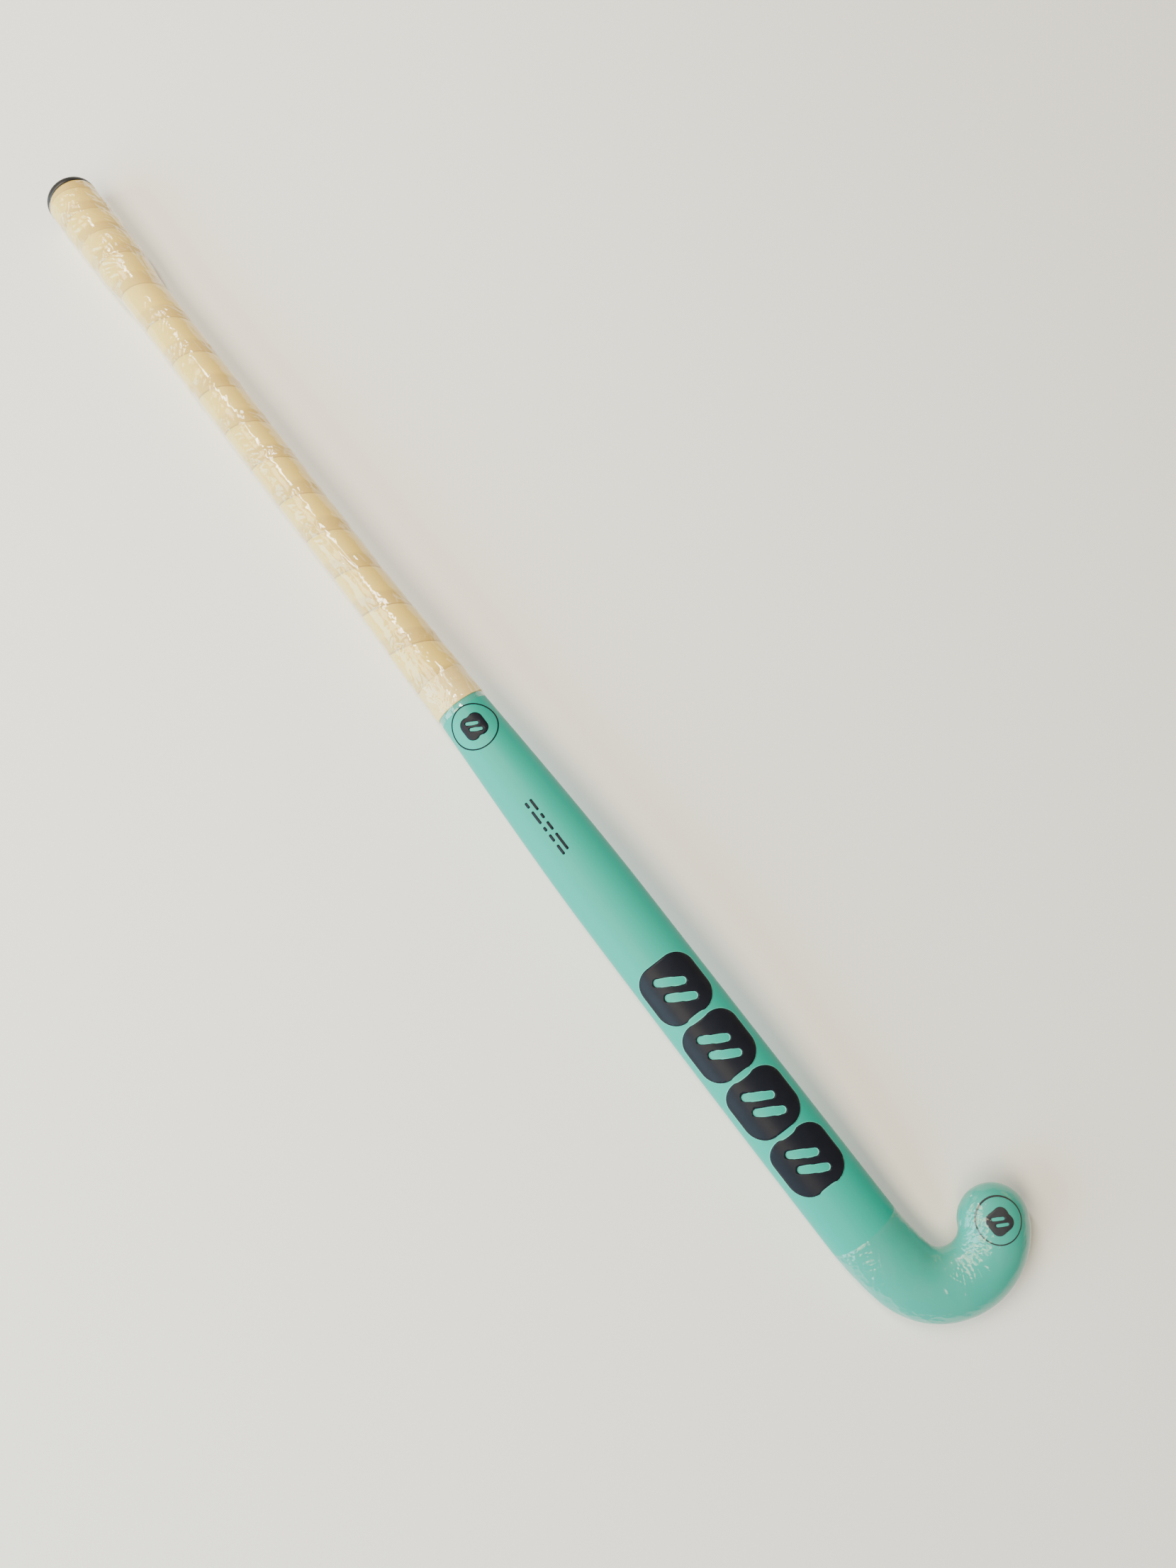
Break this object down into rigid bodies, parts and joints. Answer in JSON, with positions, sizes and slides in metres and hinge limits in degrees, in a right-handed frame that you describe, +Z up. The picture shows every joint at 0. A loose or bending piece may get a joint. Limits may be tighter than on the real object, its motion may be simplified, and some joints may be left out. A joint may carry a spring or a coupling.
{
  "type": "field hockey stick",
  "caption": "Hollow composite stick with a bowed shaft, a J-shaped hook head with a flat playing face, and a spirally wrapped handle under clear film.",
  "frame": {"origin": "centre of the bounding box on the floor that the stick rests on, face down", "axes": "+X runs from the butt to the head, +Y towards the toe, +Z up out of the rounded back"},
  "size_m": [0.9142, 0.107, 0.0455],
  "materials": {
    "painted_laminate": "satin mint-green lacquer",
    "bare_laminate": "moulded carbon and glass laminate",
    "core_foam": "rigid foam",
    "cap_rubber": "moulded black rubber",
    "sleeve_foam": "foam tape",
    "grip_tape": "soft napped cream tape",
    "finishing_tape": "smooth cream tape",
    "clear_film": "glossy clear film with wrinkles",
    "print": "dark printed transfer under lacquer"
  },
  "bodies": {
    "root": {"laminate_shell": "painted_laminate", "centre_web": "bare_laminate", "head_core": "core_foam", "butt_plug": "core_foam", "end_cap": "cap_rubber", "butt_sleeve": "sleeve_foam", "grip_wrap": "grip_tape", "finishing_tape": "finishing_tape", "handle_wrap_film": "clear_film", "head_wrap_film": "clear_film", "shaft_badge": "print", "small_marks": "print", "large_mark": "print", "toe_badge": "print"}
  },
  "joints": []
}
